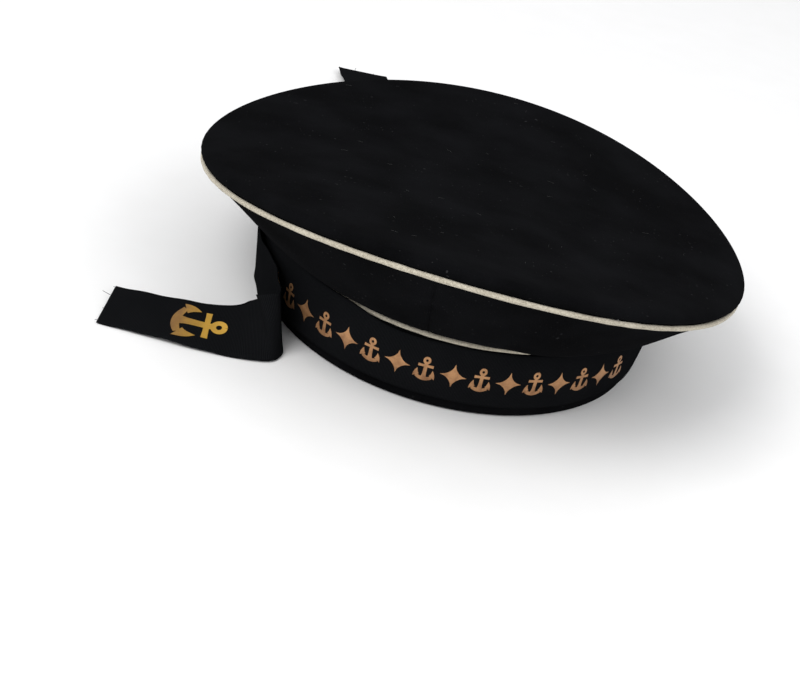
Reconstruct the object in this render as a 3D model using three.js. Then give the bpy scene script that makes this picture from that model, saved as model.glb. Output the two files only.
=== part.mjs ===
// Sailor cap: a flat round crown over an upright band, with a ribbon and two tails.
// Millimetres, +Z up, the front of the cap toward -Y, the floor at z = 0.
import * as THREE from 'three';
import { ParametricGeometry } from 'three/addons/geometries/ParametricGeometry.js';

// Crown: an oval rim on a saddle, high at the front, low at both sides
const CROWN = {
  halfWidth: 135.6,
  halfLength: 141.6,
  rimHeight: 66.7,
  forwardRise: 0.1095,
  saddle: 8.7,
  sideRoll: 1,
  wall: 2,
};

// The rolled edge of the top: inset from the rim inward, rise above the rim,
// and the share of the side roll by which it overhangs the cord at the left and right
const EDGE_ROLL = [
  { inset: 0.4, rise: 1.6, roll: 0 },
  { inset: -0.6, rise: 3.1, roll: 0.85 },
  { inset: -0.8, rise: 4.7, roll: 1 },
  { inset: 0.3, rise: 6.4, roll: 0.8 },
  { inset: 2.4, rise: 7.5, roll: 0.4 },
  { inset: 6, rise: 8, roll: 0.1 },
  { inset: 16, rise: 8.1, roll: 0 },
  { inset: 44, rise: 8.1, roll: 0 },
  { inset: 84, rise: 8.1, roll: 0 },
  { inset: 141.6, rise: 8.1, roll: 0 },
];

// Band: an upright oval ring behind the middle of the crown
const BAND = {
  centreY: 7.6,
  halfWidth: 96.5,
  halfLength: 99.5,
  height: 36.2,
  flare: 2.3,
  belly: 1.8,
  wall: 2.5,
  rows: 5,
};

// Cords sewn into the two seams
const PIPING = { radius: 1.25, bandHeight: 37.8, bandOut: 2.5, sides: 8 };

// The sloping side of the crown, between the two seams
const QUARTER = {
  wall: 2,
  lowOut: 3.6,
  lowHeight: 39.45,
  highInset: 1.2,
  highRise: -1.7,
  seamGap: 0.3,
  rows: 9,
};

// How far the side sags at each angle round the cap, in degrees from +X; -90 is the front
const SAG = [
  { at: -180, sag: 2.4 },
  { at: -150, sag: 2.8 },
  { at: -118, sag: 2.8 },
  { at: -106, sag: 2.2 },
  { at: -88, sag: 2.8 },
  { at: -71, sag: 4.4 },
  { at: -61, sag: 6.2 },
  { at: -38, sag: 5.4 },
  { at: 0, sag: 4 },
  { at: 90, sag: 3 },
  { at: 180, sag: 2.4 },
];

// Ribbon: its body round the band and the two tails that leave it at the back
const RIBBON = { wall: 1, gap: 0.3, lowEdge: 6, highEdge: 36, rows: 5, tailWidth: 32 };

// Where the ribbon hangs loose: it stands off the band and its upper edge rides over the cord
const LOOSE = {
  at: 212,
  standOff: 1.7,
  standOffReach: 66,
  standOffFade: 13,
  rise: 3.3,
  riseReach: 50,
  riseFade: 17,
};

// Tails: first along the band on edge between two angles, out from it, then the rows below.
// x and y place the lower edge, rise lifts it, lean is 90 on edge and 0 flat.
// fall is the side that the upper edge falls to: 1 left of the way it runs, -1 right.
const LEFT_TAIL = {
  from: 84,
  to: 220,
  rows: 11,
  outFirst: 5.4,
  outLast: 3.8,
  leanFirst: 90,
  leanLast: 81,
  fall: -1,
};
const LEFT_ROUTE = [
  { x: -70.5, y: -75, rise: 0, lean: 81 },
  { x: -64.5, y: -86, rise: 0, lean: 73 },
  { x: -66.5, y: -95.5, rise: 0, lean: 50 },
  { x: -78, y: -101.5, rise: 0, lean: 27 },
  { x: -96, y: -105.5, rise: 0.4, lean: 13 },
  { x: -111, y: -107.5, rise: 1.4, lean: 9 },
  { x: -124, y: -108, rise: 1, lean: 7 },
  { x: -137, y: -108.7, rise: 0.3, lean: 6 },
  { x: -149.5, y: -109.5, rise: 0, lean: 5 },
];
const RIGHT_TAIL = {
  from: 58,
  to: 94,
  rows: 5,
  outFirst: 5.3,
  outLast: 7.4,
  leanFirst: 90,
  leanLast: 90,
  fall: 1,
};
const RIGHT_ROUTE = [
  { x: -20, y: 117, rise: 0, lean: 90 },
  { x: -31, y: 124, rise: 0, lean: 88 },
  { x: -38, y: 136, rise: 0, lean: 80 },
  { x: -44, y: 151, rise: 0, lean: 62 },
  { x: -50, y: 166, rise: 1, lean: 42 },
  { x: -56, y: 181, rise: 4, lean: 25 },
  { x: -61, y: 195, rise: 7, lean: 14 },
  { x: -66, y: 208, rise: 4, lean: 9 },
  { x: -71, y: 221, rise: 0.5, lean: 6 },
  { x: -76, y: 234, rise: 1, lean: 5 },
  { x: -81, y: 246, rise: 3, lean: 4 },
  { x: -85, y: 257, rise: 2, lean: 4 },
  { x: -89, y: 268, rise: 0.4, lean: 3 },
  { x: -93, y: 279, rise: 0, lean: 3 },
];

const AROUND = 64;
const UP = new THREE.Vector3(0, 0, 1);
const wool = new THREE.MeshStandardMaterial({ color: 0x151517, roughness: 0.95 });
const cord = new THREE.MeshStandardMaterial({ color: 0xd8ceb5, roughness: 0.9 });
const grosgrain = new THREE.MeshStandardMaterial({ color: 0x18191c, roughness: 0.7 });

// Height of the saddle that the rim and the taut top both lie on
function saddleHeight(x, y) {
  const across = x / CROWN.halfWidth;
  const along = y / CROWN.halfLength;
  return CROWN.rimHeight - CROWN.forwardRise * y + CROWN.saddle * (along ** 2 - across ** 2);
}

// A point of the crown, set in from the rim and raised above the saddle
function crownPoint(angle, inset, rise) {
  const share = 1 - inset / CROWN.halfLength;
  const x = CROWN.halfWidth * share * Math.cos(angle);
  const y = CROWN.halfLength * share * Math.sin(angle);
  return new THREE.Vector3(x, y, saddleHeight(x, y) + rise);
}

// A point round the band, moved out from the band's lower edge
function bandPoint(angle, out, height) {
  const x = (BAND.halfWidth + out) * Math.cos(angle);
  const y = BAND.centreY + (BAND.halfLength + out) * Math.sin(angle);
  return new THREE.Vector3(x, y, height);
}

// How far the band's outer face stands out at a height
function bandOut(height) {
  const share = height / BAND.height;
  return BAND.flare * share + BAND.belly * Math.sin(Math.PI * share);
}

// A value between the rows of a table, eased from each row to the next
function tableValue(rows, at, column) {
  const next = Math.max(1, rows.findIndex((row) => row.at >= at));
  const [low, high] = [rows[next - 1], rows[next]];
  const share = THREE.MathUtils.smoothstep(at, low.at, high.at);
  return THREE.MathUtils.lerp(low[column], high[column], share);
}

// 1 near the middle of the loose stretch, fading to 0 at its reach in degrees
function looseShare(angle, reach, fade) {
  const away = Math.abs(THREE.MathUtils.radToDeg(angle) - LOOSE.at);
  return THREE.MathUtils.smoothstep(reach - away, 0, fade);
}

// A row of numbers from one value to another
function ramp(from, to, rows) {
  return Array.from({ length: rows }, (_, row) => from + ((to - from) * row) / (rows - 1));
}

// Closed cloth: wallAt gives the outer and inner line of the section at a share of the way.
// Ended cloth closes each end with a cap that meets on the line midway between the two.
function clothBody(wallAt, steps, ended) {
  const caps = ended ? 1 : 0;
  const slices = steps + 2 * caps;
  const rows = wallAt(0).outer.length;
  const loop = 2 * rows;
  const place = (u, v, target) => {
    const slice = Math.round(u * slices);
    const share = THREE.MathUtils.clamp((slice - caps) / steps, 0, 1);
    const { outer, inner } = wallAt(share);
    const index = Math.round(v * loop) % loop;
    const row = index < rows ? index : loop - 1 - index;
    const capped = ended && (slice === 0 || slice === slices);
    const side = capped ? 0.5 : Number(index >= rows);
    target.lerpVectors(outer[row], inner[row], side);
  };
  return new ParametricGeometry(place, slices, loop);
}

// The taut top: the edge roll, fuller at the sides, and its inner line, one wall inside it
function crownWall(share) {
  const angle = 2 * Math.PI * share;
  const fuller = CROWN.sideRoll * Math.cos(angle) ** 2;
  const line = EDGE_ROLL.map(({ inset, rise, roll }) => ({ inset: inset - fuller * roll, rise }));
  const inside = line.map((point, row) => {
    const before = line[Math.max(row - 1, 0)];
    const after = line[Math.min(row + 1, line.length - 1)];
    const run = after.inset - before.inset;
    const climb = after.rise - before.rise;
    const step = CROWN.wall / Math.hypot(run, climb);
    const last = row === line.length - 1;
    return { inset: last ? point.inset : point.inset + climb * step, rise: point.rise - run * step };
  });
  const outer = line.map(({ inset, rise }) => crownPoint(angle, inset, rise));
  const inner = inside.map(({ inset, rise }) => crownPoint(angle, inset, rise));
  return { outer, inner };
}

// Shape of the sag between the seams: fullest a quarter of the way up, about 1 there
function sagShape(share) {
  return 8.2 * share * (1 - share) * Math.exp(-2.2 * share);
}

// One section of the sloping side, sagging outward between its two seams
function quarterWall(angle) {
  const low = bandPoint(angle, QUARTER.lowOut, QUARTER.lowHeight);
  const high = crownPoint(angle, QUARTER.highInset, QUARTER.highRise);
  const run = high.clone().sub(low);
  const level = Math.hypot(run.x, run.y);
  const inside = new THREE.Vector3((-run.x * run.z) / level, (-run.y * run.z) / level, level).normalize();
  const degrees = THREE.MathUtils.radToDeg(Math.atan2(Math.sin(angle), Math.cos(angle)));
  const sag = tableValue(SAG, degrees, 'sag');
  const outer = ramp(0, 1, QUARTER.rows).map((share) => {
    const point = low.clone().lerp(high, share);
    return point.addScaledVector(inside, -sag * sagShape(share));
  });
  const inner = outer.map((point) => point.clone().addScaledVector(inside, QUARTER.wall));
  return { outer, inner };
}

// A quarter of the side between two seams, short of each by half the seam gap
function quarterBody(fromDegrees) {
  const trim = QUARTER.seamGap / 2 / CROWN.halfWidth;
  const from = THREE.MathUtils.degToRad(fromDegrees) + 1.4 * trim;
  const to = THREE.MathUtils.degToRad(fromDegrees + 90) - 1.4 * trim;
  return clothBody((share) => quarterWall(THREE.MathUtils.lerp(from, to, share)), AROUND / 4, true);
}

// A line up the band's face at an angle, clear of it by a gap
function faceLine(angle, heights, gap) {
  return heights.map((height) => bandPoint(angle, bandOut(height) + gap, height));
}

// The band: an upright ring with a flat lower edge
function bandWall(share) {
  const angle = 2 * Math.PI * share;
  const heights = ramp(0, BAND.height, BAND.rows);
  return { outer: faceLine(angle, heights, 0), inner: faceLine(angle, heights, -BAND.wall) };
}

// The ribbon round the band, tight against it apart from the loose stretch
function ribbonWall(share) {
  const angle = 2 * Math.PI * share;
  const high = RIBBON.highEdge + LOOSE.rise * looseShare(angle, LOOSE.riseReach, LOOSE.riseFade);
  const heights = ramp(RIBBON.lowEdge, high, RIBBON.rows);
  const off = LOOSE.standOff * looseShare(angle, LOOSE.standOffReach, LOOSE.standOffFade);
  const line = (gap) =>
    heights.map((height) => {
      const lean = 0.25 + (0.75 * (height - RIBBON.lowEdge)) / (RIBBON.highEdge - RIBBON.lowEdge);
      return bandPoint(angle, bandOut(height) + gap + off * Math.min(lean, 1), height);
    });
  return { outer: line(RIBBON.gap + RIBBON.wall), inner: line(RIBBON.gap) };
}

// A closed cord along a ring of points
function cordBody(pointAt) {
  const points = Array.from({ length: AROUND }, (_, step) => pointAt((2 * Math.PI * step) / AROUND));
  const path = new THREE.CatmullRomCurve3(points, true);
  return new THREE.TubeGeometry(path, AROUND, PIPING.radius, PIPING.sides, true);
}

// A loose tail: on edge along the band, then along its route as it falls over flat
function tailBody(start, route) {
  const angles = ramp(start.from, start.to, start.rows).map(THREE.MathUtils.degToRad);
  const outs = ramp(start.outFirst, start.outLast, start.rows);
  const close = angles.map((angle, row) => bandPoint(angle, outs[row], 0));
  const places = [...close, ...route.map(({ x, y, rise }) => new THREE.Vector3(x, y, rise))];
  const leans = [...ramp(start.leanFirst, start.leanLast, start.rows), ...route.map(({ lean }) => lean)];
  const path = new THREE.CatmullRomCurve3(places);
  const leaning = new THREE.CatmullRomCurve3(leans.map((lean) => new THREE.Vector3(lean, 0, 0)));
  const steps = 3 * (places.length - 1);
  return clothBody((share) => {
    const lean = THREE.MathUtils.degToRad(leaning.getPoint(share).x);
    const ahead = path.getTangent(share).setZ(0).normalize();
    const aside = UP.clone().cross(ahead).multiplyScalar(start.fall);
    const across = aside.multiplyScalar(Math.cos(lean)).addScaledVector(UP, Math.sin(lean));
    const right = ahead.clone().cross(across);
    const foot = path.getPoint(share).addScaledVector(UP, (RIBBON.wall / 2) * Math.cos(lean));
    const line = ramp(0, RIBBON.tailWidth, 3).map((width) => foot.clone().addScaledVector(across, width));
    const outer = line.map((point) => point.clone().addScaledVector(right, RIBBON.wall / 2));
    const inner = line.map((point) => point.clone().addScaledVector(right, -RIBBON.wall / 2));
    return { outer, inner };
  }, steps, true);
}

const cap = new THREE.Group();
cap.name = 'sailor_cap';

function add(name, geometry, material) {
  const mesh = new THREE.Mesh(geometry, material);
  mesh.name = name;
  cap.add(mesh);
}

add('crown_top', clothBody(crownWall, AROUND, false), wool);
add('crown_piping', cordBody((angle) => crownPoint(angle, 0, 0)), cord);
add('quarter_back_right', quarterBody(0), wool);
add('quarter_back_left', quarterBody(90), wool);
add('quarter_front_left', quarterBody(180), wool);
add('quarter_front_right', quarterBody(270), wool);
add('band_piping', cordBody((angle) => bandPoint(angle, PIPING.bandOut, PIPING.bandHeight)), cord);
add('band', clothBody(bandWall, AROUND, false), wool);
add('tally_ribbon', clothBody(ribbonWall, AROUND, false), grosgrain);
add('ribbon_tail_left', tailBody(LEFT_TAIL, LEFT_ROUTE), grosgrain);
add('ribbon_tail_right', tailBody(RIGHT_TAIL, RIGHT_ROUTE), grosgrain);

export default cap;
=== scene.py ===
# %% [markdown]
# # A sailor cap in Blender
# The cap has a flat wool crown on a saddle-shaped rim, two cream piping cords, an upright band
# and a black ribbon with two loose tails. The solids of the part set every size. This lesson
# dresses them: each cloth piece is a surface that numpy works out on a grid, and each finish is
# a small tree of nodes. The first step loads the solids, so that every new piece shares their frame.

import bmesh
import bpy
import numpy as np
from mathutils import Matrix, Vector


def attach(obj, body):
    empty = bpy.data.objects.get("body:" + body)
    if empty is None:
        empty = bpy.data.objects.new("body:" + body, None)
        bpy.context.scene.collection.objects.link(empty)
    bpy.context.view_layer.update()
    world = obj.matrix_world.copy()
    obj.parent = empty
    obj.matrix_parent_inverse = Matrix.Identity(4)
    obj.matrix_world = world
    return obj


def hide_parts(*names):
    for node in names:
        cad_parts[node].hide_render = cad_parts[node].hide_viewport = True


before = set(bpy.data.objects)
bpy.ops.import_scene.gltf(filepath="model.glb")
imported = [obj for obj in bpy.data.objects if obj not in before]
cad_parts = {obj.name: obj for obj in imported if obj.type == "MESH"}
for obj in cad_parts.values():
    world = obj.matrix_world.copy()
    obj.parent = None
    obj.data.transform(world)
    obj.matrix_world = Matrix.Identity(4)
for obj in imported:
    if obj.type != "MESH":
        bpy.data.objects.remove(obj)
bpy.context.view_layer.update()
MM = 0.001
print("nodes", sorted(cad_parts))

# %% [markdown]
# ## Camera
# The photograph looks down on the cap from the front with the camera rolled. A camera could be
# aimed by a constraint, but a roll is easier to state as three axes: right, up and back. They are
# the columns of the camera's matrix, worked out from an azimuth, an elevation and a roll.

# %% Camera
AZIMUTH, ELEVATION, ROLL = np.radians([4.369, 29.793, 14.973])
EYE = np.array([44.3, -823.3, 447.2]) * MM
FOCAL_PIXELS, IMAGE_WIDTH, SENSOR = 1836.1, 800, 36.0


def camera_axes(azimuth, elevation, roll):
    """Right, up and back: back points from the object to the eye, and the roll turns the other two."""
    back = np.array(
        [
            np.sin(azimuth) * np.cos(elevation),
            -np.cos(azimuth) * np.cos(elevation),
            np.sin(elevation),
        ]
    )
    level = np.array([np.cos(azimuth), np.sin(azimuth), 0.0])
    upright = np.cross(back, level)
    right = level * np.cos(roll) + upright * np.sin(roll)
    return right, np.cross(back, right), back


camera_data = bpy.data.cameras.new("photo_camera")
camera_data.sensor_width = SENSOR
camera_data.lens = FOCAL_PIXELS / IMAGE_WIDTH * SENSOR
camera_data.clip_end = 20
camera = bpy.data.objects.new("photo_camera", camera_data)
turn = Matrix(np.column_stack(camera_axes(AZIMUTH, ELEVATION, ROLL)).tolist()).to_4x4()
camera.matrix_world = Matrix.Translation(EYE.tolist()) @ turn
bpy.context.scene.collection.objects.link(camera)
bpy.context.scene.camera = camera
print("lens", round(camera_data.lens, 2), "mm")

# %% [markdown]
# ## Shader arithmetic
# A finish is easier to read as a formula than as a picture of nodes. This class wraps one socket.
# Its operators add Math nodes, so that `1 - mask` and `mask * 0.5` work, and its one other method
# makes any node from a type, settings and inputs.


# %% Shader helper
class Wire:
    """One output socket of a node tree, with arithmetic that adds Math nodes."""

    def __init__(self, tree, socket):
        self.tree, self.socket = tree, socket

    def node(self, kind, settings=None, inputs=None, output=0):
        """Adds a node: its settings first, then the value or link of each named socket."""
        made = self.tree.nodes.new(kind)
        for name, value in (settings or {}).items():
            if name == "stops":
                ramp = made.color_ramp
                while len(ramp.elements) < len(value):
                    ramp.elements.new(1)
                for element, (position, colour) in zip(ramp.elements, value):
                    element.position, element.color = position, colour
            else:
                setattr(made, name, value)
        for name, value in (inputs or {}).items():
            if isinstance(value, Wire):
                self.tree.links.new(value.socket, made.inputs[name])
            else:
                made.inputs[name].default_value = value
        return Wire(self.tree, made.outputs[output])

    def maths(self, operation, first, second=0.0):
        return self.node("ShaderNodeMath", {"operation": operation}, {0: first, 1: second})

    def __add__(self, other):
        return self.maths("ADD", self, other)

    def __radd__(self, other):
        return self.maths("ADD", other, self)

    def __sub__(self, other):
        return self.maths("SUBTRACT", self, other)

    def __rsub__(self, other):
        return self.maths("SUBTRACT", other, self)

    def __mul__(self, other):
        return self.maths("MULTIPLY", self, other)

    def __rmul__(self, other):
        return self.maths("MULTIPLY", other, self)

    def above(self, low, high):
        """0 below low, 1 above high, straight between."""
        inputs = {"Value": self, "From Min": low, "From Max": high}
        return self.node("ShaderNodeMapRange", {"clamp": True}, inputs)

    def mixed(self, first, second):
        """A colour between two colours, by this value."""
        settings = {"data_type": "RGBA"}
        return self.node("ShaderNodeMix", settings, {0: self, 6: first, 7: second}, 2)

    def noise(self, place, scale, detail=2.0):
        inputs = {"Vector": place, "Scale": scale, "Detail": detail}
        return self.node("ShaderNodeTexNoise", None, inputs)

    def bump(self, height, strength, distance):
        inputs = {"Height": height, "Strength": strength, "Distance": distance}
        return self.node("ShaderNodeBump", None, inputs)


def finish(name, **constants):
    """A new material: its shader node with the constant values set, and its two coordinates."""
    material = bpy.data.materials.new(name)
    material.use_nodes = True
    tree = material.node_tree
    shader = tree.nodes["Principled BSDF"]
    for socket, value in constants.items():
        shader.inputs[socket.replace("_", " ")].default_value = value
    coordinates = tree.nodes.new("ShaderNodeTexCoord")
    space = Wire(tree, coordinates.outputs["Object"])
    cloth = Wire(tree, coordinates.outputs["UV"])

    def feed(**links):
        for socket, wire in links.items():
            tree.links.new(wire.socket, shader.inputs[socket.replace("_", " ")])

    return material, space, cloth, feed


# %% [markdown]
# ## Black wool
# The crown and band are a dense, brushed wool. Up close it has a felted nap with a faint twill
# under it, a few grey specks, and worn places that look bluer. Two sizes of noise make the nap, a
# slanted wave makes the twill, and thresholded noise leaves the specks. The cloth is so matt that
# it has no gloss at all, only a trace of sheen where it turns away.

# %% Wool finish
WOOL_DARK = (0.0018, 0.0018, 0.002, 1)
WOOL_WORN = (0.0066, 0.0068, 0.0078, 1)
SPECK_TINT = (0.024, 0.024, 0.025, 1)
TWILL_SCALE = 620.0


def wool_finish(name):
    """Nap from two noises, a slanted twill wave, and rare grey specks."""
    material, space, _, feed = finish(
        name, Sheen_Weight=0.005, Sheen_Roughness=0.5, Specular_IOR_Level=0.0
    )
    nap = space.noise(space, 1400.0, 3.0)
    tufts = space.noise(space, 420.0, 2.0)
    wear = space.noise(space, 26.0, 4.0)
    wave = {"wave_type": "BANDS", "bands_direction": "DIAGONAL"}
    twill = space.node(
        "ShaderNodeTexWave", wave, {"Vector": space, "Scale": TWILL_SCALE, "Distortion": 1.5}, 1
    )
    specks = space.noise(space, 700.0, 0.0).above(0.79, 0.84)
    patches = space.noise(space, 45.0, 1.0).above(0.45, 0.65)
    shade = (0.55 * wear.above(0.35, 0.7) + 0.45 * nap).mixed(WOOL_DARK, WOOL_WORN)
    feed(
        Base_Color=(specks * patches).mixed(shade, SPECK_TINT),
        Roughness=0.9 + 0.1 * tufts,
        Normal=space.bump(nap + 0.6 * tufts + 0.35 * twill, 0.35, 0.0004),
    )
    return material


wool = wool_finish("black_wool")
print("wool nodes", len(wool.node_tree.nodes))

# %% [markdown]
# ## Cream piping
# Both cords are a strip of cream cotton folded over a string and sewn into the seam. The strip is
# woven, so two crossed waves along and around the cord make its threads. It is greyer in places.

# %% Piping finish
PIPING_CLEAN = (0.58, 0.53, 0.425, 1)
PIPING_SOILED = (0.27, 0.235, 0.17, 1)
PIPING_THREADS = 560.0


def piping_finish(name):
    """Crossed thread waves on the cord's own map, with soiling from noise."""
    material, space, cloth, feed = finish(name, Sheen_Weight=0.1)
    threads = {"Vector": cloth, "Scale": PIPING_THREADS}
    wave = {"wave_type": "BANDS", "bands_direction": "X"}
    along = cloth.node("ShaderNodeTexWave", wave, threads, 1)
    wave = {"wave_type": "BANDS", "bands_direction": "Y"}
    around = cloth.node("ShaderNodeTexWave", wave, threads, 1)
    soil = space.noise(space, 60.0, 4.0).above(0.42, 0.72)
    fuzz = space.noise(space, 1150.0, 2.0)
    feed(
        Base_Color=(0.35 * soil + 0.65 * fuzz.above(0.4, 0.72)).mixed(PIPING_CLEAN, PIPING_SOILED),
        Roughness=0.82 + 0.14 * fuzz,
        Normal=space.bump(along * around + fuzz, 0.6, 0.0004),
    )
    return material


piping = piping_finish("cream_piping")
print("piping nodes", len(piping.node_tree.nodes))

# %% [markdown]
# ## Ribbon and gold
# The ribbon is grosgrain: fine ribs run across it, one every two thirds of a millimetre. A wave
# along the ribbon's own map makes them, so that they follow every bend. The ornament is a thin
# gilt print. It is a metal finish with a little relief, rubbed browner in places.

# %% Ribbon and gilt finishes
RIBBON_DARK = (0.0026, 0.0027, 0.0031, 1)
RIBBON_RUB_AND_CREST_HIGHLIGHT = (0.0125, 0.0132, 0.0145, 1)
RIB_SCALE = 470.0


def ribbon_finish(name):
    """Cross ribs as a wave along the ribbon's map; their crests are smoother and painted lighter (painted
    highlight, with painted shade in the troughs), and rubbed places are lighter too.
    """
    material, space, cloth, feed = finish(name, Sheen_Weight=0.0015, Specular_IOR_Level=0.0)
    wave = {"wave_type": "BANDS", "bands_direction": "X"}
    ribs = cloth.node("ShaderNodeTexWave", wave, {"Vector": cloth, "Scale": RIB_SCALE}, 1)
    fibre = space.noise(space, 1600.0, 2.0)
    rubbed = space.noise(space, 50.0, 3.0)
    feed(
        # Painted highlight and shade: the rib wave paints each crest lighter and each trough darker; the
        # rubbed noise is real, uneven wear.
        Base_Color=(0.5 * ribs + 0.5 * rubbed * fibre).mixed(RIBBON_DARK, RIBBON_RUB_AND_CREST_HIGHLIGHT),
        Roughness=0.74 - 0.16 * ribs + 0.12 * fibre,
        Normal=space.bump(ribs + 0.3 * fibre, 0.4, 0.0003),
    )
    return material


def gilt_finish(name, bright, brown, foot_browning):
    """Metallic print, browner where it has rubbed and toward the foot of each motif."""
    material, space, _, feed = finish(name, Metallic=0.55)
    rub = space.noise(space, 320.0, 4.0)
    grain = space.noise(space, 1800.0, 2.0)
    along = space.node("ShaderNodeAttribute", {"attribute_name": "along"}, None, 2)
    # This share makes the gilt darker and browner toward the foot of each motif; the rub noise is real
    # wear.
    foot = foot_browning * (1 - along.above(0.1, 0.62))
    feed(
        Base_Color=(foot + (0.8 - foot_browning) * rub.above(0.4, 0.68) + 0.2 * grain).mixed(bright, brown),
        Roughness=0.34 + 0.25 * grain,
        Normal=space.bump(grain, 0.25, 0.0002),
    )
    return material


ribbon_cloth = ribbon_finish("black_grosgrain")
front_gilt = gilt_finish("front_gilt", (0.52, 0.275, 0.125, 1), (0.20, 0.09, 0.038, 1), 0.35)
anchor_gilt = gilt_finish("anchor_gilt", (0.84, 0.49, 0.075, 1), (0.21, 0.10, 0.04, 1), 0.7)
print("finishes", [m.name for m in bpy.data.materials])

# %% [markdown]
# ## Surfaces from grids
# Every new piece below is a grid of points, an array of rows, columns and xyz. One helper turns
# such an array into a mesh. It can close the rows or the columns into a ring, and it lays a map
# in metres on the faces, so that threads keep their size on every piece.


# %% Grid to mesh
def grid_faces(rows, columns, close_rows, close_columns):
    """Corner indices of each quad, as row and column numbers that may run one past the end."""
    row = np.arange(rows if close_rows else rows - 1)
    column = np.arange(columns if close_columns else columns - 1)
    r, c = [a.ravel() for a in np.meshgrid(row, column, indexing="ij")]
    return np.stack([r, r + 1, r + 1, r], 1), np.stack([c, c, c + 1, c + 1], 1)


def grid_piece(name, grids, material, close_rows=False, close_columns=False, maps=None, along=None):
    """One object from one or more grids of points; maps give the metres along rows and columns.
    along is a value for each point of each grid, kept as an attribute that a finish can read."""
    grids = grids if isinstance(grids, list) else [grids]
    maps = maps or [None] * len(grids)
    points, faces, places, first = [], [], [], 0
    for grid, pair in zip(grids, maps):
        rows, columns = grid.shape[:2]
        r, c = grid_faces(rows, columns, close_rows, close_columns)
        faces.append((r % rows) * columns + c % columns + first)
        u, v = pair or (np.arange(rows + 1) * MM, np.arange(columns + 1) * MM)
        places.append(np.stack([np.asarray(u)[r], np.asarray(v)[c]], -1).reshape(-1, 2))
        points.append(grid.reshape(-1, 3))
        first += rows * columns
    mesh = bpy.data.meshes.new(name)
    points, faces = np.concatenate(points), np.concatenate(faces)
    mesh.from_pydata(points, [], faces)
    layer = mesh.uv_layers.new(name="cloth")
    layer.data.foreach_set("uv", np.concatenate(places).ravel())
    if along:
        values = np.concatenate([np.ravel(value) for value in along])
        mesh.attributes.new("along", "FLOAT", "POINT").data.foreach_set("value", values)
    mesh.polygons.foreach_set("use_smooth", np.ones(len(faces), bool))
    mesh.materials.append(material)
    mesh.update()
    piece = bpy.data.objects.new(name, mesh)
    bpy.context.scene.collection.objects.link(piece)
    return piece


def thicken(piece, wall, offset=-1.0):
    """Gives a one-sided cloth surface its wall, inward from the face that shows."""
    modifier = piece.modifiers.new("wall", "SOLIDIFY")
    modifier.thickness = wall
    modifier.offset = offset
    modifier.use_even_offset = False


def placed(piece, slot, *nodes):
    """Joins a piece to the frame by its body and hides the solids that it stands for; slot is not used.
    """
    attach(piece, "root")
    if nodes:
        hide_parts(*nodes)
    print(piece.name, len(piece.data.polygons), "faces")


def merged(piece):
    """Welds points that meet, such as the many copies of a pole."""
    work = bmesh.new()
    work.from_mesh(piece.data)
    bmesh.ops.remove_doubles(work, verts=work.verts, dist=1e-6)
    work.to_mesh(piece.data)
    work.free()


# %% [markdown]
# ## Shape of the cap
# The rim of the crown is an oval on a saddle: high at the front, a little lower behind, lowest at
# the sides. The taut top follows the same saddle. The band is an oval that flares and bellies.
# These functions take whole arrays of angles and give whole arrays of points, in metres.

# %% Cap measures
CROWN = {"half_width": 135.6, "half_length": 141.6, "height": 66.7, "rise": 0.1095, "saddle": 8.7}
BAND = {"centre": 7.6, "half_width": 96.5, "half_length": 99.5, "height": 36.2, "flare": 2.3}
BELLY = 1.8
RING_STEPS = 320
RIM_RADIUS, QUARTER_RADIUS, BAND_RADIUS, RIBBON_RADIUS = 139, 118, 99, 101


def stacked(x, y, z):
    return np.stack(np.broadcast_arrays(x, y, z), -1) * MM


def saddle(x, y):
    """Height of the saddle: a slope up toward the front plus the difference of two squares."""
    across, along = x / CROWN["half_width"], y / CROWN["half_length"]
    return CROWN["height"] - CROWN["rise"] * y + CROWN["saddle"] * (along**2 - across**2)


def crown_point(angle, inset, rise):
    """A point set in from the oval rim and raised above the saddle."""
    share = 1 - inset / CROWN["half_length"]
    x = CROWN["half_width"] * share * np.cos(angle)
    y = CROWN["half_length"] * share * np.sin(angle)
    return stacked(x, y, saddle(x, y) + rise)


def band_point(angle, out, height):
    """A point of an oval round the band, moved out from the band's lower edge."""
    x = (BAND["half_width"] + out) * np.cos(angle)
    y = BAND["centre"] + (BAND["half_length"] + out) * np.sin(angle)
    return stacked(x, y, height)


def band_out(height):
    """How far the band stands out at a height: a straight flare plus half a sine wave."""
    share = height / BAND["height"]
    return BAND["flare"] * share + BELLY * np.sin(np.pi * share)


def turns(count):
    return 2 * np.pi * np.arange(count) / count


def ring_metres(count, radius):
    return np.linspace(0, 2 * np.pi * radius * MM, count + 1)


print("top of the rim at the front, in mm", round(saddle(0, -CROWN["half_length"]), 1))


# %% [markdown]
# ## Crown top
# The top is one round of wool pulled taut over a stiff hoop, so it is nearly flat with a rolled
# edge. A cloth simulation would only flatten it further, so the roll is a short profile swept
# round the rim. Small ripples stand where the seam gathers the edge, and slow waves keep the
# middle from looking like a sheet of plastic.

# %% Crown top
SIDE_ROLL = 1.0
EDGE_ROLL = np.array(
    [
        (0.4, 1.6, 0),
        (-0.6, 3.1, 0.85),
        (-0.8, 4.7, 1),
        (0.3, 6.4, 0.8),
        (2.4, 7.5, 0.4),
        (6, 8, 0.1),
        (16, 8.1, 0),
        (44, 8.1, 0),
        (84, 8.1, 0),
        (141.6, 8.1, 0),
    ]
)


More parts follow.
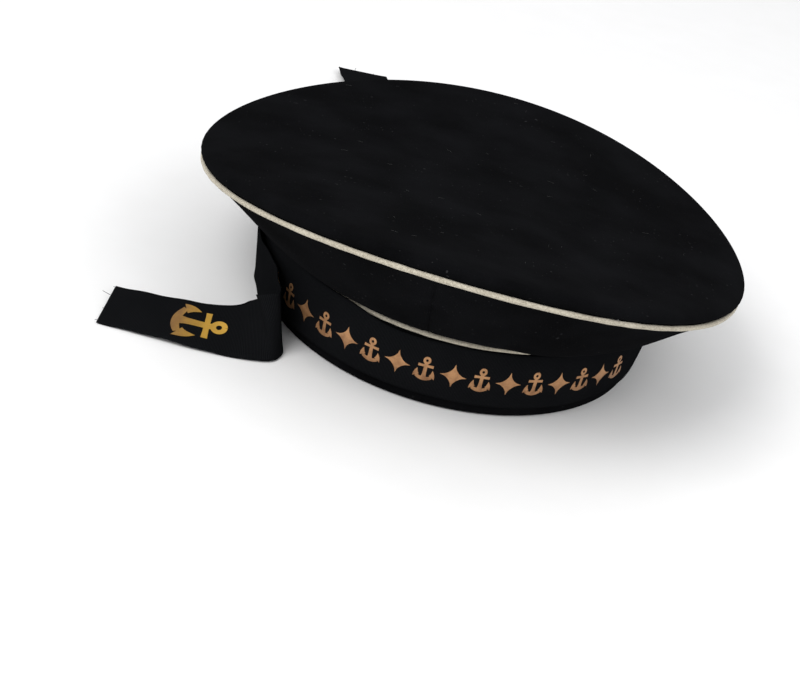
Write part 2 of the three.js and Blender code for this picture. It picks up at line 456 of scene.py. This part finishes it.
def smooth_line(points, count):
    """Points of a smooth curve through the given ones, a cubic with centripetal knots."""
    points = np.asarray(points, float)
    padded = np.vstack([2 * points[0] - points[1], points, 2 * points[-1] - points[-2]])
    spot = np.linspace(0, len(points) - 1, count)
    piece = np.minimum(spot.astype(int), len(points) - 2)
    t = (spot - piece)[:, None]
    p0, p1, p2, p3 = [padded[piece + k] for k in range(4)]
    knots = [np.linalg.norm(b - a, axis=1)[:, None] ** 0.5 for a, b in ((p0, p1), (p1, p2), (p2, p3))]
    d0, d1, d2 = [np.maximum(k, 1e-4) for k in knots]
    m1 = ((p1 - p0) / d0 - (p2 - p0) / (d0 + d1) + (p2 - p1) / d1) * d1
    m2 = ((p2 - p1) / d1 - (p3 - p1) / (d1 + d2) + (p3 - p2) / d2) * d1
    curve = (2 * p1 - 2 * p2 + m1 + m2) * t**3 + (3 * p2 - 3 * p1 - 2 * m1 - m2) * t**2
    return curve + m1 * t + p1


def top_point(angle, inset, rise, overhang):
    """Crown point, fuller at the sides by the squared cosine, with gathers at the edge and slow waves."""
    fuller = SIDE_ROLL * overhang * np.cos(angle) ** 2
    gather = np.exp(-(((rise - 2.6) / 1.8) ** 2)) * np.clip(8 - inset, 0, 8) / 8
    ripple = 0.16 * np.sin(97 * angle + 1.2 * np.sin(5 * angle)) * gather
    waves = 0.30 * np.sin(3 * angle + 0.04 * inset) + 0.22 * np.sin(7 * angle - 0.05 * inset)
    calm = np.clip(inset / 30, 0, 1) * np.clip((CROWN["half_length"] - inset) / 60, 0, 1)
    return crown_point(angle, inset - fuller - ripple, rise + waves * calm)


inset, rise, overhang = smooth_line(EDGE_ROLL, 64).T[:, None]
top_grid = top_point(turns(RING_STEPS)[:, None], inset, rise, overhang)
metres = (ring_metres(RING_STEPS, RIM_RADIUS), inset[0] * MM)
crown_top = grid_piece("crown_top_wool", top_grid, wool, close_rows=True, maps=[metres])
merged(crown_top)
thicken(crown_top, 2 * MM)
placed(crown_top, "wool", "crown_top")

# %% [markdown]
# ## Piping
# Each cord is a circle carried round an oval path. Its frame needs no twist control: one axis
# points out from the cap and the other points up. A fine wobble keeps it from looking machined.


# %% Piping
CORD_RADIUS, CORD_SIDES, CORD_STEPS = 1.25, 14, 720
BAND_CORD_OUT, BAND_CORD_HEIGHT = 2.5, 37.8


def piping_grid(path):
    """A circle of points round each path point, in the plane of the outward axis and up."""
    turn = turns(CORD_STEPS)
    out = np.stack([np.cos(turn), np.sin(turn), 0 * turn], 1)
    around = turns(CORD_SIDES)[None, :, None]
    wobble = 1 + 0.05 * np.sin(41 * turn + 3 * np.sin(7 * turn))[:, None, None]
    side = out[:, None] * np.cos(around) + np.array([0, 0, 1.0]) * np.sin(around)
    return path[:, None] + side * CORD_RADIUS * MM * wobble


girth = np.linspace(0, 2 * np.pi * CORD_RADIUS * MM, CORD_SIDES + 1)
cord_map = [(ring_metres(CORD_STEPS, RIM_RADIUS), girth)]
rim_cord = piping_grid(crown_point(turns(CORD_STEPS), 0.0, 0.0))
crown_cord = grid_piece("crown_piping_cord", rim_cord, piping, True, True, cord_map)
placed(crown_cord, "piping", "crown_piping")

seam_cord = piping_grid(band_point(turns(CORD_STEPS), BAND_CORD_OUT, BAND_CORD_HEIGHT))
band_cord = grid_piece("band_piping_cord", seam_cord, piping, True, True, cord_map)
placed(band_cord, "piping", "band_piping")

# %% [markdown]
# ## Side quarters
# Four pieces of wool slope from the rim in to the band. Each hangs a little slack, most at the
# right front, and is seamed to the next. Every section is a straight line from band to rim plus
# a sag, and the cloth dips into the seam at both ends.

# %% Side quarters
QUARTER = {"low_out": 3.6, "low_height": 39.45, "high_inset": 1.2, "high_rise": -1.7}
SEAM_DIP, SEAM_WIDTH, SLOPE_LENGTH = 0.55, 1.8, 60
SAG_AT = [-180, -150, -118, -106, -88, -71, -61, -38, 0, 90, 180]
SAG_DEPTH = [2.4, 2.8, 2.8, 2.2, 2.8, 4.4, 6.2, 5.4, 4.0, 3.0, 2.4]


def eased(at, rows_at, rows_value):
    """A value between the rows of a table, eased from each row to the next."""
    rows_at, rows_value = np.asarray(rows_at, float), np.asarray(rows_value, float)
    upper = np.clip(np.searchsorted(rows_at, at), 1, len(rows_at) - 1)
    share = np.clip((at - rows_at[upper - 1]) / (rows_at[upper] - rows_at[upper - 1]), 0, 1)
    share = share * share * (3 - 2 * share)
    return rows_value[upper - 1] * (1 - share) + rows_value[upper] * share


def sag_shape(share):
    """Sag between the seams: a parabola that fades upward, fullest a quarter of the way up."""
    return 8.2 * share * (1 - share) * np.exp(-2.2 * share)


def quarter_grid(start, steps=110, rows=34):
    """Line from low to high seam, moved outward by the sag and inward at the end seams."""
    angle = np.linspace(start, start + np.pi / 2, steps)
    low = band_point(angle, QUARTER["low_out"], QUARTER["low_height"])
    high = crown_point(angle, QUARTER["high_inset"], QUARTER["high_rise"])
    run = high - low
    level = np.hypot(run[:, 0], run[:, 1])
    inside = np.stack([-run[:, 0] * run[:, 2] / level, -run[:, 1] * run[:, 2] / level, level], 1)
    inside /= np.linalg.norm(inside, axis=1)[:, None]
    degrees = np.degrees(np.arctan2(np.sin(angle), np.cos(angle)))
    sag = eased(degrees, SAG_AT, SAG_DEPTH)
    share = np.linspace(0, 1, rows)[None, :]
    edge = np.minimum(angle - angle[0], angle[-1] - angle)[:, None] * QUARTER_RADIUS
    dip = SEAM_DIP * np.exp(-((edge / SEAM_WIDTH) ** 2))
    pucker = 0.25 * np.sin(26 * share + 3 * np.sin(9 * angle)[:, None]) * np.exp(-edge / 9)
    slack = 0.35 * np.sin(6 * angle)[:, None] * np.sin(np.pi * share)
    depth = sag[:, None] * sag_shape(share) - dip + pucker * np.sin(np.pi * share) + slack
    point = low[:, None] + run[:, None] * share[..., None]
    girth = np.linspace(0, np.pi / 2 * QUARTER_RADIUS * MM, steps + 1)
    metres = (girth, np.linspace(0, SLOPE_LENGTH * MM, rows + 1))
    return point - inside[:, None] * depth[..., None] * MM, metres


QUARTERS = {"back_right": 0, "back_left": 90, "front_left": 180, "front_right": 270}
for where, degrees in QUARTERS.items():
    panel, metres = quarter_grid(np.radians(degrees))
    quarter = grid_piece(f"side_quarter_{where}", panel, wool, maps=[metres])
    thicken(quarter, 2 * MM)
    placed(quarter, "wool", f"quarter_{where}")

# %% [markdown]
# ## Band
# The band is an upright wall of wool whose lower edge is folded under, so the rim is rounded
# outside and flat where it stands. The profile runs from the inner edge of the fold, round the
# lower corner and up the outer face.

# %% Band
fold = np.array([(-1.2, 0.0), (-0.5, 0.05), (-0.12, 0.35), (0.0, 0.9)])
wall_heights = np.linspace(2.0, BAND["height"], 26)
profile_out = np.concatenate([fold[:, 0] + band_out(fold[:, 1]), band_out(wall_heights)])
profile_high = np.concatenate([fold[:, 1], wall_heights])
angle = turns(RING_STEPS)[:, None]
sway = 0.18 * np.sin(5 * angle) + 0.12 * np.sin(11 * angle + 1)
lift = np.clip(profile_high / 8, 0, 1)[None]
band_grid = band_point(angle, profile_out[None] + sway * lift, profile_high[None])
metres = (ring_metres(RING_STEPS, BAND_RADIUS), profile_high * MM)
band = grid_piece("band_wool", band_grid, wool, close_rows=True, maps=[metres])
thicken(band, 2.2 * MM)
placed(band, "wool", "band")

# %% [markdown]
# ## Ribbon round the band
# The ribbon lies on the band's outer face and takes its flare and belly. Its lower edge stands a
# hair proud, because it is only tacked on. At the front left it is slack: there it stands off the
# band, and its upper edge rides up over the cord and hides it. A modifier could push it out, but
# two eased bumps round the angle say exactly where the slack starts and ends.

# %% Ribbon round the band
RIBBON_LOW, RIBBON_HIGH, RIBBON_LIFT = 6.0, 36.0, 0.95
RIBBON_WIDTH = RIBBON_HIGH - RIBBON_LOW
PROUD_WIDTH, RIBBON_STEPS = 2.5, 360
LOOSE_AT = 212
STAND_OFF = {"most": 1.7, "reach": 66, "fade": 13}
RIDE_UP = {"most": 3.3, "reach": 50, "fade": 17}


def loose(angle, way):
    """The most that the ribbon moves near the middle of its loose stretch, eased to 0 at its reach."""
    away = np.abs(np.degrees(np.mod(angle, 2 * np.pi)) - LOOSE_AT)
    share = np.clip((way["reach"] - away) / way["fade"], 0, 1)
    return way["most"] * share * share * (3 - 2 * share)


def on_band(angle, height, lift):
    """A point on the ribbon's outer face, raised by a lift; the loose stretch stands off the band."""
    lean = np.minimum(1, 0.25 + 0.75 * (height - RIBBON_LOW) / RIBBON_WIDTH)
    return band_point(angle, band_out(height) + lift + loose(angle, STAND_OFF) * lean, height)


angle = turns(RIBBON_STEPS)[:, None]
share = np.linspace(0, 1, 24)[None]
top_edge = RIBBON_HIGH + loose(angle, RIDE_UP)
heights = RIBBON_LOW + (top_edge - RIBBON_LOW) * share
edge = np.exp(-((share * RIBBON_WIDTH / PROUD_WIDTH) ** 2))
proud = RIBBON_LIFT + edge * (0.22 + 0.2 * np.sin(9 * angle) * np.sin(4 * angle + 1))
wrap_grid = on_band(angle, heights, proud)
metres = (ring_metres(RIBBON_STEPS, RIBBON_RADIUS), share[0] * RIBBON_WIDTH * MM)
wrap = grid_piece("ribbon_wrap", wrap_grid, ribbon_cloth, close_rows=True, maps=[metres])
thicken(wrap, 0.5 * MM)
placed(wrap, "ribbon", "tally_ribbon")

# %% [markdown]
# ## Ribbon tails
# Each tail leaves the ribbon at the back of the cap standing on edge, follows the band for a
# while, then falls over and lies flat. A cloth simulation would fall somewhere else on each
# change, so a table gives the lower edge of the ribbon on the floor and how far it leans. One
# smooth curve goes through the rows, and the ribbon is a straight line across at every point.

# %% Ribbon tails
TAIL_WIDTH = 32.0
LEFT_START = {"from": 84, "to": 220, "rows": 11, "out": (5.4, 3.8), "lean": (90, 81), "fall": -1}
LEFT_ROUTE = [
    (-70.5, -75, 0, 81),
    (-64.5, -86, 0, 73),
    (-66.5, -95.5, 0, 50),
    (-78, -101.5, 0, 27),
    (-96, -105.5, 0.4, 13),
    (-111, -107.5, 1.4, 9),
    (-124, -108, 1, 7),
    (-137, -108.7, 0.3, 6),
    (-149.5, -109.5, 0, 5),
]
RIGHT_START = {"from": 58, "to": 94, "rows": 5, "out": (5.3, 7.4), "lean": (90, 90), "fall": 1}
RIGHT_ROUTE = [
    (-20, 117, 0, 90),
    (-31, 124, 0, 88),
    (-38, 136, 0, 80),
    (-44, 151, 0, 62),
    (-50, 166, 1, 42),
    (-56, 181, 4, 25),
    (-61, 195, 7, 14),
    (-66, 208, 4, 9),
    (-71, 221, 0.5, 6),
    (-76, 234, 1, 5),
    (-81, 246, 3, 4),
    (-85, 257, 2, 4),
    (-89, 268, 0.4, 3),
    (-93, 279, 0, 3),
]


def tail_frame(start, route, count=420):
    """Foot of the ribbon and distance from its free end, in millimetres, with the directions across
    it and off its face. The direction across turns from level to upright by the lean."""
    angles = np.radians(np.linspace(start["from"], start["to"], start["rows"]))
    outs = np.linspace(*start["out"], start["rows"])
    close = band_point(angles, outs, np.zeros(start["rows"])) / MM
    route = np.array(route, float)
    foot = smooth_line(np.vstack([close, route[:, :3]]), count)
    leans = np.concatenate([np.linspace(*start["lean"], start["rows"]), route[:, 3]])
    lean = np.radians(smooth_line(np.stack([leans, 0 * leans], 1), count)[:, 0])
    ahead = np.gradient(foot, axis=0) * [1, 1, 0]
    ahead /= np.linalg.norm(ahead, axis=1)[:, None]
    aside = start["fall"] * np.stack([-ahead[:, 1], ahead[:, 0], 0 * lean], 1)
    up = np.array([0, 0, 1.0])
    across = aside * np.cos(lean)[:, None] + up * np.sin(lean)[:, None]
    face = np.cross(ahead, across)
    foot = foot + up * (0.5 * np.cos(lean))[:, None]
    middle = foot + across * TAIL_WIDTH / 2
    steps = np.linalg.norm(np.diff(middle, axis=0), axis=1)
    from_end = np.concatenate([np.cumsum(steps[::-1])[::-1], [0.0]])
    return {"foot": foot, "across": across, "face": face, "from_end": from_end}


def on_tail(tail, from_end, width, lift):
    """A point of a tail by distance from its free end, distance across it and lift off its face."""
    known = tail["from_end"][::-1]

    def there(name):
        return np.stack([np.interp(from_end, known, tail[name][::-1, k]) for k in range(3)], -1)

    point = there("foot") + there("across") * np.asarray(width)[..., None]
    return (point + there("face") * np.asarray(lift)[..., None]) * MM


def tail_piece(name, tail, columns=18):
    """The ribbon as a grid of lengths and widths, its edges lifting in small waves."""
    length = tail["from_end"][0]
    along, width = np.meshgrid(
        np.linspace(0, length, 300), np.linspace(0, TAIL_WIDTH, columns), indexing="ij"
    )
    edge = np.abs(width / TAIL_WIDTH * 2 - 1) ** 6
    wave = 0.25 * edge * (1 + np.sin(along * 0.33 + width * 0.2))
    metres = (np.linspace(0, length * MM, 301), np.linspace(0, TAIL_WIDTH * MM, columns + 1))
    grid = on_tail(tail, along, width, wave)[:, ::-1]
    piece = grid_piece(name, grid, ribbon_cloth, maps=[metres])
    thicken(piece, 0.5 * MM, 0.0)
    return piece, length


left_tail = tail_frame(LEFT_START, LEFT_ROUTE)
right_tail = tail_frame(RIGHT_START, RIGHT_ROUTE)
left_piece, left_length = tail_piece("ribbon_tail_left_cloth", left_tail)
right_piece, right_length = tail_piece("ribbon_tail_right_cloth", right_tail)
placed(left_piece, "ribbon", "ribbon_tail_left")
placed(right_piece, "ribbon", "ribbon_tail_right")
print("tail lengths in mm", round(left_length), round(right_length))

# %% [markdown]
# ## Gilt ornament
# The motifs are the traditional anchor and a four-pointed star. A texture would blur at their
# edges, so each is a few flat grids: a strip is a line of points with a width, and a fluke is the
# space between two curved edges. They are drawn flat here and laid on the ribbon afterwards.


# %% Motifs
def strip(path, half_width, columns=3):
    """A flat strip along a path; the half width may change from point to point."""
    path = np.asarray(path, float)
    ahead = np.gradient(path, axis=0)
    ahead /= np.maximum(np.linalg.norm(ahead, axis=1), 1e-9)[:, None]
    side = np.stack([-ahead[:, 1], ahead[:, 0]], 1) * np.broadcast_to(half_width, len(path))[:, None]
    return path[:, None] + side[:, None] * np.linspace(-1, 1, columns)[None, :, None]


def line(start, end, count=9):
    return np.linspace(start, end, count)


def between(first, second, columns=5):
    """A flat grid between two edges that have the same number of points."""
    share = np.linspace(0, 1, columns)[None, :, None]
    return np.asarray(first, float)[:, None] * (1 - share) + np.asarray(second, float)[:, None] * share


def anchor(length, width):
    """Shank, ring, stock, crescent arms and barbed flukes on a 28 by 25 plan, stretched to a size.
    x runs from the crown of the anchor to its ring. The arms bend as a parabola."""
    spread = np.linspace(-8.9, 8.9, 25)
    arms = np.stack([2.1 + 0.034 * spread**2, spread], 1)
    hoop = np.linspace(0, 2 * np.pi, 33)
    ring = np.stack([23.7 + 2.9 * np.cos(hoop), 2.9 * np.sin(hoop)], 1)
    parts = [
        strip(line((1.8, 0), (21.2, 0)), [3.6, 3.0, 2.4, 2.15, 2.05, 2.0, 1.95, 1.9, 1.9]),
        strip(line((17.6, -8.7), (17.6, 8.7)), [1.6, 1.5, 1.45, 1.4, 1.4, 1.4, 1.45, 1.5, 1.6]),
        strip(ring, 1.4),
        strip(arms, 2.15 - 0.006 * spread**2),
    ]
    for side in (-1, 1):
        outer = smooth_line([(3.0, 12.3), (7.4, 11.9), (10.8, 10.5), (13.4, 8.6)], 13) * [1, side]
        inner = smooth_line([(6.5, 5.6), (8.6, 7.1), (11.0, 7.9), (13.4, 8.5)], 13) * [1, side]
        parts.append(between(outer, inner))
    return [part * [length / 28, width / 25] for part in parts]


def star(size):
    """A four-pointed star: a disc whose edge is a superellipse with hollow sides."""
    turn = np.linspace(0, 2 * np.pi, 49)
    edge = (np.abs(np.cos(turn)) ** 0.62 + np.abs(np.sin(turn)) ** 0.62) ** (-1 / 0.62)
    share = np.linspace(0.02, 1, 5)
    disc = np.stack([np.cos(turn) * edge, np.sin(turn) * edge], 1)
    return [disc[:, None] * share[None, :, None] * size]


def outward_facing(grids, values, facing):
    """Turns over each grid, with its values, whose faces look away from a direction."""
    fixed = []
    for grid, value in zip(grids, values):
        middle = grid[len(grid) // 2, 0]
        normal = np.cross(grid[len(grid) // 2 + 1, 0] - middle, grid[len(grid) // 2, -1] - middle)
        order = slice(None, None, 1 if normal @ facing(grid) > 0 else -1)
        fixed.append((grid[:, order], value[:, order]))
    return [list(kind) for kind in zip(*fixed)]


print("an anchor has", len(anchor(28, 25)), "parts, a star", len(star(1)))

# %% [markdown]
# ## Ornament on the front
# A row of small anchors and stars is printed round the front of the ribbon. Each flat motif is
# wrapped by the ribbon's own surface function, so it takes the flare, the belly and the slack. The
# height inside a motif is kept as an attribute, and the gilt turns browner toward its foot.

# %% Front ornament
FRONT_RADIUS, ORNAMENT_HEIGHT, ORNAMENT_PITCH, ORNAMENT_ASIDE = 101.5, 20.5, 13.4, 3.0
STAR_SIZE, SMALL_ANCHOR, ANCHOR_DROP, PRINT_LIFT = 6.4, (13.0, 10.5), 6.0, 0.1
ornament = []
ornament_along = []
for step in range(-7, 9):
    starred = step % 2 == 1
    centre = step * ORNAMENT_PITCH + ORNAMENT_ASIDE
    for flat in star(STAR_SIZE) if starred else anchor(*SMALL_ANCHOR):
        shift = ORNAMENT_HEIGHT - (0 if starred else ANCHOR_DROP)
        angle = np.radians(-90) + (centre - flat[..., 1]) / FRONT_RADIUS
        ornament.append(on_band(angle, shift + flat[..., 0], RIBBON_LIFT + PRINT_LIFT))
        ornament_along.append(flat[..., 0] / SMALL_ANCHOR[0] + (0.5 if starred else 0))
axis = np.array([0, BAND["centre"], 20]) * MM
ornament, ornament_along = outward_facing(ornament, ornament_along, lambda grid: grid[0, 0] - axis)
front_ornament = grid_piece("front_ornament", ornament, front_gilt, along=ornament_along)
placed(front_ornament, "ribbon")

# %% [markdown]
# ## Anchors on the tails
# Each tail carries one large anchor near its end, with the ring toward the cap. The same drawing
# is used, larger, and it lies on whichever face of the tail looks up at the free end.

# %% Tail anchors
ANCHOR_LENGTH, ANCHOR_WIDTH, ANCHOR_FROM_END, ANCHOR_LIFT = 26.8, 25.0, 32.0, 0.5


def tail_anchor(name, tail):
    """An anchor whose ring points to the cap, printed on the upper face of a tail."""
    side = 1 if tail["face"][-1, 2] > 0 else -1
    flat = anchor(ANCHOR_LENGTH, ANCHOR_WIDTH)
    along = [grid[..., 0] / ANCHOR_LENGTH for grid in flat]
    laid = []
    for grid in flat:
        x, y = grid[..., 0], grid[..., 1]
        lift = np.full(x.shape, side * ANCHOR_LIFT)
        laid.append(on_tail(tail, ANCHOR_FROM_END + x, TAIL_WIDTH / 2 + y, lift))
    laid, along = outward_facing(laid, along, lambda grid: np.array([0, 0, 1.0]))
    piece = grid_piece(name, laid, anchor_gilt, along=along)
    placed(piece, "ribbon")
    return piece


left_anchor = tail_anchor("tail_anchor_left", left_tail)
right_anchor = tail_anchor("tail_anchor_right", right_tail)

# %% [markdown]
# ## Loose threads
# The ribbon ends are plainly cut, so a few threads have worked loose. Hair particles would need
# many settings for seven threads, so each is a thin tube along a short curve from a small table.


# %% Loose threads
SLANTED = [0.31, 0.22, 0.93]
THREAD_RADIUS, STITCH_RADIUS, LINT_RADIUS = 0.13, 0.17, 0.05


def thread_grid(path, radius, sides=5):
    """A thin tube: a small circle carried along a path, in a frame built from a fixed slanted axis."""
    path = np.asarray(path, float)
    ahead = np.gradient(path, axis=0)
    ahead /= np.linalg.norm(ahead, axis=1)[:, None]
    side = np.cross(ahead, SLANTED)
    side /= np.linalg.norm(side, axis=1)[:, None]
    other = np.cross(ahead, side)
    around = turns(sides)[None, :, None]
    taper = np.full(len(path), radius)
    taper[[0, -1]] *= 0.3
    ring = side[:, None] * np.cos(around) + other[:, None] * np.sin(around)
    return path[:, None] + ring * taper[:, None, None]


LEFT_THREADS = [(23.5, 4.8, 1.4), (30.6, 1.1, 0.4), (12.0, 0.8, -0.3), (1.6, 1.3, -0.5)]
RIGHT_THREADS = [(21.0, 4.2, -1.2), (29.8, 0.9, 0.3), (8.5, 1.2, 0.4)]


def frayed_end(name, tail, threads):
    """Threads that leave the cut end of a tail: where across it, how far they reach, how they bend."""
    grids = []
    t = np.linspace(0, 1, 12)
    for width, reach, bend in threads:
        base = on_tail(tail, 0 * t + 0.2, width + bend * t**2, 0 * t)
        ahead = on_tail(tail, 0.0, width, 0.0) - on_tail(tail, 4.0, width, 0.0)
        ahead /= np.linalg.norm(ahead)
        rise = np.array([0, 0, 1.0]) * (0.3 * t * (1 - 0.6 * t) * reach)[:, None]
        path = base + (ahead * (reach * t)[:, None] + rise) * MM
        grids.append(thread_grid(path, THREAD_RADIUS * MM))
    piece = grid_piece(name, grids, ribbon_cloth, close_columns=True)
    placed(piece, "ribbon")
    return piece


left_threads = frayed_end("loose_threads_left", left_tail, LEFT_THREADS)
right_threads = frayed_end("loose_threads_right", right_tail, RIGHT_THREADS)

# %% [markdown]
# ## Stitches at the back
# The outer tail is sewn to the ribbon with two rows of short stitches. Each is a thread that
# arches a fraction of a millimetre over the cloth, made with the same tube as the loose threads.


# %% Tack stitches
def tack_stitches(name, tail, rows=(2.5, 5.5)):
    """Two rows of short thread arcs across the sewn end of a tail, each an arch over the ribbon."""
    length, grids = tail["from_end"][0], []
    t = np.linspace(0, 1, 8)
    middle = length - 4, TAIL_WIDTH / 2
    side = np.sign(on_tail(tail, *middle, 1.0) - on_tail(tail, *middle, 0.0))[1]
    for row in rows:
        for start in np.arange(3.0, TAIL_WIDTH - 4, 3.6):
            arch = side * (0.28 + 0.22 * np.sin(np.pi * t))
            path = on_tail(tail, 0 * t + length - row, start + 2.3 * t, arch)
            grids.append(thread_grid(path, STITCH_RADIUS * MM))
    piece = grid_piece(name, grids, ribbon_cloth, close_columns=True)
    placed(piece, "ribbon")
    return piece


right_tack = tack_stitches("tack_stitches_right", right_tail)

# %% [markdown]
# ## Lint
# Dark wool always shows a few pale fibres. They are tubes too, a tenth of a millimetre thick, laid
# on the crown by its own surface function. A seeded generator scatters them the same way each run.

# %% Lint
random = np.random.default_rng(7)
LINT_TINT, LINT_SHADE = (0.06, 0.06, 0.058, 1), (0.02, 0.02, 0.021, 1)


def lint_finish(name):
    """Grey fibre, paler in places."""
    material, space, _, feed = finish(name, Roughness=0.9)
    feed(Base_Color=space.noise(space, 900.0, 1.0).mixed(LINT_SHADE, LINT_TINT))
    return material


fibres = []
for _ in range(26):
    turn, inset = random.uniform(-np.pi, np.pi), random.uniform(9, 105)
    length, heading, curl = random.uniform(1.5, 4.5), random.uniform(0, np.pi), random.uniform(-1, 1)
    t = np.linspace(-0.5, 0.5, 9) * length
    around = t * np.cos(heading) + curl * (t / length) ** 2 * 2
    angles = turn + around / (CROWN["half_length"] - inset)
    path = top_point(angles, inset + t * np.sin(heading), 8.2, 0)
    fibres.append(thread_grid(path, LINT_RADIUS * MM, 4))
lint = grid_piece("lint_on_crown", fibres, lint_finish("grey_lint"), close_columns=True)
placed(lint, "wool")

# %% [markdown]
# ## Tail lengths
# Each tail's length before it was laid out was measured along its middle when it was made; here it is in
# metres.

# %% Tail lengths
left_length * MM
right_length * MM
print("sheets", left_piece.name, right_piece.name)

# %% [markdown]
# ## Floor and light
# The cap stands on a plain white floor that runs out of the picture. One large soft light hangs
# in front and to the left, a second fills from the right, and a pale sky lights the rest.

# %% Floor and light
FLOOR_REACH, FLOOR_HEIGHT = np.array([-4000.0, 4000.0]), -0.6
FLOOR_TINTS = (0.88, 0.875, 0.865, 1), (0.91, 0.905, 0.9, 1)
floor_grid = stacked(*np.meshgrid(FLOOR_REACH, FLOOR_REACH, indexing="ij"), FLOOR_HEIGHT)
floor_material, floor_space, _, floor_feed = finish("white_floor", Roughness=0.85)
speckle = floor_space.noise(floor_space, 40.0, 2.0)
floor_feed(Base_Color=speckle.mixed(*FLOOR_TINTS))
floor = grid_piece("white_floor", floor_grid, floor_material)


def soft_light(name, place, aim, size, watts):
    """A square area light at a place in metres, turned to face a point."""
    data = bpy.data.lights.new(name, "AREA")
    data.size, data.energy = size, watts
    light = bpy.data.objects.new(name, data)
    toward = (Vector(aim) - Vector(place)).to_track_quat("-Z", "Y")
    light.matrix_world = Matrix.Translation(place) @ toward.to_matrix().to_4x4()
    bpy.context.scene.collection.objects.link(light)


CAP_MIDDLE = (0, 0, 0.05)
soft_light("key_light", (-0.9, -1.1, 1.6), CAP_MIDDLE, 1.2, 26)
soft_light("fill_light", (1.2, -0.6, 1.3), CAP_MIDDLE, 1.4, 9)
sky = bpy.data.worlds.new("pale_sky")
sky.use_nodes = True
background = sky.node_tree.nodes["Background"]
background.inputs["Color"].default_value = (0.97, 0.98, 1.0, 1)
background.inputs["Strength"].default_value = 0.75
bpy.context.scene.world = sky
bpy.context.scene.view_settings.view_transform = "Standard"
print("lights", [light.name for light in bpy.data.lights])
